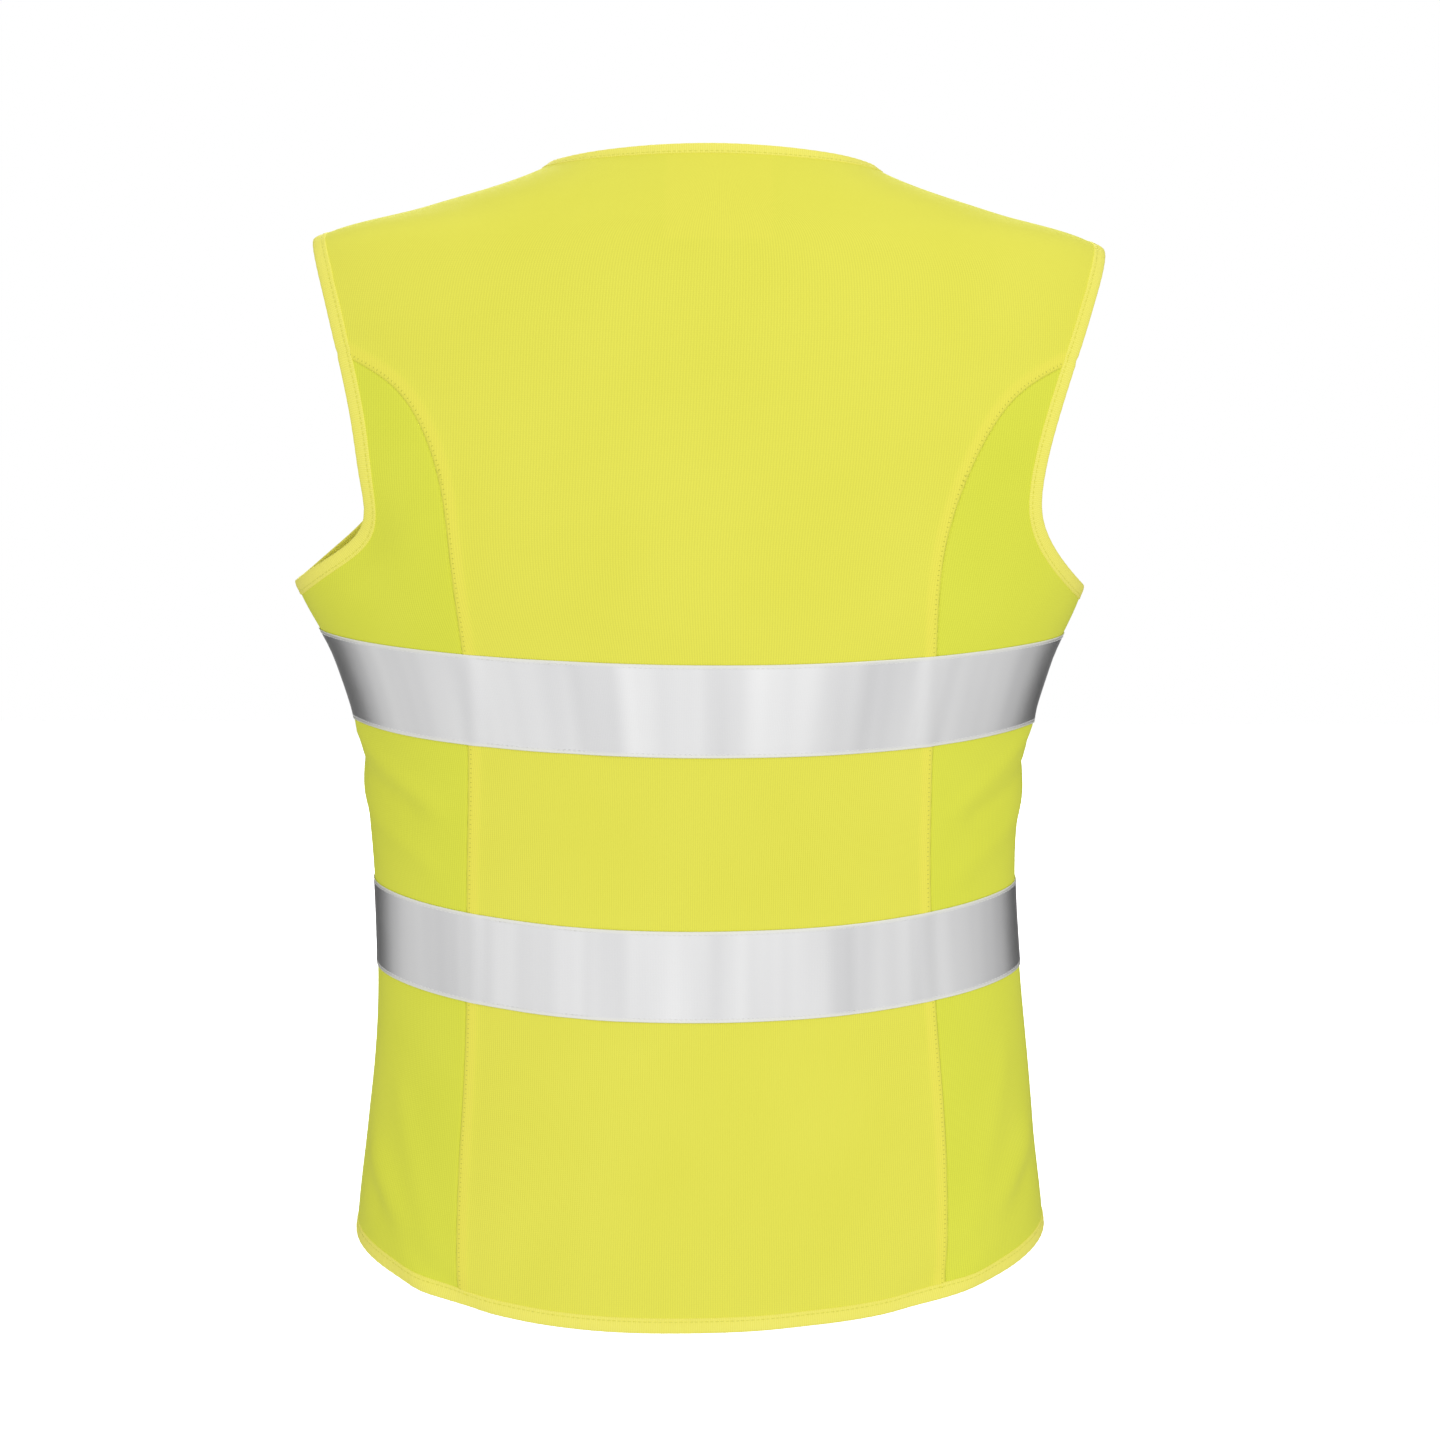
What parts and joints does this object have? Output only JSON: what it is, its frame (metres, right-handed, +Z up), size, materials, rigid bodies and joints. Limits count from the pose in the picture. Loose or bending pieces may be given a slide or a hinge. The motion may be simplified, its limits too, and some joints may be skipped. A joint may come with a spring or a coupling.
{
  "type": "high visibility vest",
  "caption": "Fitted woman's high visibility vest in fluorescent yellow knit, with princess seams, bound edges, silver reflective tapes round chest and waist, and an undone front zip.",
  "frame": {"origin": "midway between the two high shoulder points, where a hanger or the wearer's neck carries the vest", "axes": "+X to the wearer's left, -Y to the front of the vest where the zip is, +Z up along the centre line"},
  "size_m": [0.4464, 0.2242, 0.6355],
  "materials": {
    "centre_fabric": "fluorescent yellow warp knit",
    "side_fabric": "fluorescent yellow warp knit, turned across the grain",
    "binding": "folded fluorescent yellow binding",
    "reflective_tape": "silver glass-bead reflective cloth",
    "label": "blank satin label",
    "zip_tape": "woven yellow zip tape",
    "zip_plastic": "moulded acetal",
    "zip_metal": "nickel coloured die casting"
  },
  "bodies": {
    "root": {"centre_back_panel": "centre_fabric", "left_front_panel_outer": "centre_fabric", "right_front_panel_outer": "centre_fabric", "left_side_back_panel": "side_fabric", "right_side_back_panel": "side_fabric", "left_side_front_panel": "side_fabric", "right_side_front_panel": "side_fabric", "neck_binding": "binding", "hem_binding": "binding", "left_armhole_binding": "binding", "right_armhole_binding": "binding", "upper_tape_back": "reflective_tape", "lower_tape_back": "reflective_tape", "left_upper_tape_side": "reflective_tape", "left_lower_tape_side": "reflective_tape", "right_upper_tape_side": "reflective_tape", "right_lower_tape_side": "reflective_tape", "neck_label": "label", "care_label": "label"},
    "left_front": {"left_front_panel": "centre_fabric", "left_neck_binding_front": "binding", "left_hem_binding_front": "binding", "left_upper_tape_front": "reflective_tape", "left_lower_tape_front": "reflective_tape", "left_zip_tape": "zip_tape", "left_zip_teeth": "zip_plastic", "left_top_stop": "zip_plastic", "retainer_box": "zip_plastic"},
    "right_front": {"right_front_panel": "centre_fabric", "right_neck_binding_front": "binding", "right_hem_binding_front": "binding", "right_upper_tape_front": "reflective_tape", "right_lower_tape_front": "reflective_tape", "right_zip_tape": "zip_tape", "right_zip_teeth": "zip_plastic", "right_top_stop": "zip_plastic", "insertion_pin": "zip_plastic"},
    "slider": {"zip_slider": "zip_metal"},
    "tab": {"pull_tab": "zip_metal"}
  },
  "joints": [
    {"name": "left_front_fold", "type": "hinge", "parent": "root", "child": "left_front", "pos_m": [0.11, -0.116, -0.606], "axis": [-0.0984, 0.018, 0.995], "range_deg": [0, 90]},
    {"name": "right_front_fold", "type": "hinge", "parent": "root", "child": "right_front", "pos_m": [-0.11, -0.116, -0.606], "axis": [-0.0984, -0.018, -0.995], "range_deg": [0, 90]},
    {"name": "slider_travel", "type": "slide", "parent": "left_front", "child": "slider", "axis": [0, 0, 1], "range_m": [0, 0.467]},
    {"name": "tab_swing", "type": "hinge", "parent": "slider", "child": "tab", "pos_m": [0.0023, -0.1087, -0.5815], "axis": [-1, 0, 0], "range_deg": [0, 170]}
  ]
}
